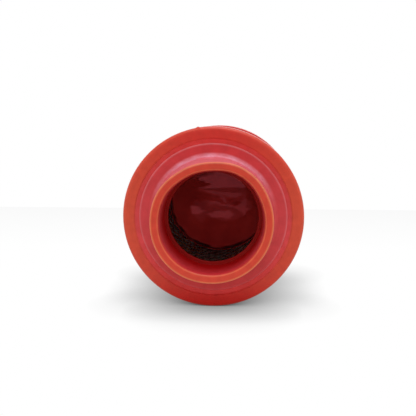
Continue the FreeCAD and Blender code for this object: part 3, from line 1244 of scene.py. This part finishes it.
@dataclass
class PleatedPaper:
    """One sheet folded into a ring of pleats with rounded tips."""

    count: int = 80
    inner_fold: float = 42.5
    outer_fold: float = 54.1
    thickness: float = 0.5
    fold_width: float = 0.75
    fold_rounding: float = 0.3
    runs: int = 12
    wander: float = 0.2
    wander_mm: float = 9.0

    def fold(self, start: float) -> Mesh:
        """Draws the end of the folded sheet as a wire.

        Args:
            start: The sheet's first station, in metres.

        Returns:
            The wire, all round the axis.
        """
        step = FULL_TURN / self.count
        half_out = self.fold_width / self.outer_fold / 2
        half_in = self.fold_width / self.inner_fold / 2
        path = [
            (self.inner_fold, -step / 2),
            (self.inner_fold, -step / 2 + half_in),
            (self.outer_fold, -half_out),
            (self.outer_fold, half_out),
            (self.inner_fold, step / 2 - half_in),
            (self.inner_fold, step / 2),
        ]
        mesh = bmesh.new()
        verts = [
            mesh.verts.new((r * MM * math.sin(turned), start, r * MM * math.cos(turned)))
            for r, turned in path
        ]
        for pair in zip(verts, verts[1:]):
            mesh.edges.new(pair)
        round_off(mesh, verts[1:-1], self.fold_rounding, 2)
        repeat_round(mesh, step, self.count)
        bmesh.ops.remove_doubles(mesh, verts=mesh.verts[:], dist=WELD)
        return mesh

    def build(self) -> None:
        """Makes the paper from its folded end, uneven as pleats settle."""
        low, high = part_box(Node.PAPER)
        mesh = self.fold(low.y)
        edges = mesh.edges[:]
        for _run in range(self.runs):
            grown = bmesh.ops.extrude_edge_only(mesh, edges=edges)["geom"]
            verts = [item for item in grown if isinstance(item, bmesh.types.BMVert)]
            edges = [item for item in grown if isinstance(item, bmesh.types.BMEdge)]
            bmesh.ops.translate(mesh, verts=verts, vec=(0, (high.y - low.y) / self.runs, 0))
            edges = [edge for edge in edges if abs(edge.verts[0].co.y - edge.verts[1].co.y) < FLAT]
        for vert in mesh.verts:
            shift = noise.noise(vert.co / (self.wander_mm * MM)) * self.wander * MM
            vert.co.x += shift * vert.co.z / self.outer_fold / MM
            vert.co.z -= shift * vert.co.x / self.outer_fold / MM
        bmesh.ops.recalc_face_normals(mesh, faces=mesh.faces[:])
        bmesh.ops.solidify(mesh, geom=mesh.faces[:], thickness=self.thickness * MM)
        bmesh.ops.recalc_face_normals(mesh, faces=mesh.faces[:])
        place(mesh, "folded_filter_paper", [PAPER], Node.PAPER)


# --- Stage ---


@dataclass
class Studio:
    """The floor, the lights and the camera."""

    distance: float = 466.0
    off_axis_deg: float = 9.3
    swing_deg: float = 70.0
    aim_mm: tuple[float, float, float] = (-3.16, 0.0, 6.66)
    lens: float = 61.2
    sensor: float = 36.0
    board_front: float = -0.25
    board_back: float = 0.473
    board_width: float = 2.4
    backdrop: float = 1.0
    surround: float = 0.85
    room: float = 0.3
    room_full: float = -0.92
    room_gone: float = -0.75
    window: float = 1.35
    window_low: float = -0.05
    window_high: float = 0.4
    window_blur: float = 0.02
    softbox_at: tuple[float, float, float] = (0.05, -0.28, 0.9)
    softbox_size: float = 0.7
    softbox_power: float = 8.0
    skylight: str = "DDE6FF"

    def build(self) -> None:
        """Sets the stage."""
        self.lay_floor()
        self.surround_element()
        self.hang_softbox()
        self.set_camera()

    def lay_floor(self) -> None:
        """Lays the board that the element's rim rests on."""
        mesh = bmesh.new()
        bmesh.ops.create_grid(mesh, x_segments=2, y_segments=2, size=0.5)
        depth = self.board_back - self.board_front
        bmesh.ops.scale(mesh, verts=mesh.verts[:], vec=(self.board_width, depth, 1))
        middle = (self.board_back + self.board_front) / 2
        bmesh.ops.translate(mesh, verts=mesh.verts[:], vec=(0, middle, cad_box[0].z))
        data = bpy.data.meshes.new("floor")
        mesh.to_mesh(data)
        mesh.free()
        data.materials.append(BOARD.build())
        add_object("floor", data)

    def surround_element(self) -> None:
        """A white surround, and a dimmer room in front with one long window."""
        world = bpy.data.worlds.new("white_surround")
        world.use_nodes = True
        tree = world.node_tree
        direction = add_node(tree, "TexCoord").outputs["Generated"]
        split = add_node(tree, "SeparateXYZ", inputs={"Vector": direction})
        smooth = {"interpolation_type": "SMOOTHSTEP"}
        low, high = self.window_low, self.window_high
        steps = []
        for axis, start, end, before, after in (
            ("Y", self.room_full, self.room_gone, self.room, self.surround),
            ("Z", low, low + self.window_blur, 0, 1),
            ("Z", high, high + self.window_blur, 1, 0),
        ):
            found = add_node(
                tree,
                "MapRange",
                smooth,
                {
                    "Value": split.outputs[axis],
                    "From Min": start,
                    "From Max": end,
                    "To Min": before,
                    "To Max": after,
                },
            )
            steps.append(found.outputs["Result"])
        walls, above, below = steps
        pane = add_node(tree, "Math", {"operation": "MULTIPLY"}, {0: above, 1: below})
        lit = add_node(
            tree,
            "Mix",
            inputs={"Factor": pane.outputs["Value"], NUMBER_A: walls, NUMBER_B: self.window},
        )
        seen = add_node(
            tree,
            "Mix",
            inputs={
                "Factor": add_node(tree, "LightPath").outputs["Is Camera Ray"],
                NUMBER_A: lit.outputs["Result"],
                NUMBER_B: self.backdrop,
            },
        )
        background = tree.nodes["Background"]
        background.inputs["Color"].default_value = (1, 1, 1, 1)
        tree.links.new(seen.outputs["Result"], background.inputs["Strength"])
        bpy.context.scene.world = world

    def hang_softbox(self) -> None:
        """Hangs one square softbox overhead, aimed at the element."""
        light = bpy.data.lights.new("overhead", "AREA")
        light.shape = "SQUARE"
        light.size = self.softbox_size
        light.energy = self.softbox_power
        light.color = srgb(self.skylight)[:3]
        lamp = add_object("overhead", light)
        lamp.location = self.softbox_at
        lamp.rotation_mode = "QUATERNION"
        lamp.rotation_quaternion = (-Vector(self.softbox_at)).to_track_quat("-Z", "Y")

    def set_camera(self) -> None:
        """Looks into the neck from in front, a little above it and to its right."""
        tilt = math.radians(self.off_axis_deg)
        swing = math.radians(self.swing_deg)
        towards = Vector(
            (math.sin(tilt) * math.cos(swing), -math.cos(tilt), math.sin(tilt) * math.sin(swing))
        )
        data = bpy.data.cameras.new("camera")
        data.lens = self.lens
        data.sensor_width = self.sensor
        camera = add_object("camera", data)
        camera.location = towards * self.distance * MM
        camera.rotation_mode = "QUATERNION"
        look = Vector(self.aim_mm) * MM - camera.location
        camera.rotation_quaternion = look.to_track_quat("-Z", "Y")
        bpy.context.scene.camera = camera


def dress_frame_node(node: Node, finish: Finish) -> None:
    """Gives a node that stays visible its procedural finish.

    Args:
        node: The frame's node.
        finish: Its finish.
    """
    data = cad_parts[node.value].data
    data.materials.clear()
    data.materials.append(finish.build())
    log.info("%s keeps the frame's mesh", node.value)


def main() -> None:
    """Builds the element and its stage."""
    logging.basicConfig(level=logging.INFO, format="%(name)s %(message)s")
    bpy.context.scene.view_settings.view_transform = "Standard"
    Studio().build()
    OpenEndCap().build()
    ClosedEndCap().build()
    ExpandedLiner(Node.INNER_LINER, "inner_expanded_liner", 40.8, 32, 180.0, 0.8).build()
    ExpandedLiner(Node.OUTER_LINER, "outer_expanded_liner", 56.0, 45, 140.0, -0.8).build()
    PleatedPaper().build()
    for node in (Node.SEAM, Node.BEAD_FRONT, Node.BEAD_MIDDLE, Node.BEAD_REAR):
        dress_frame_node(node, ADHESIVE)


if __name__ == "__main__":
    main()
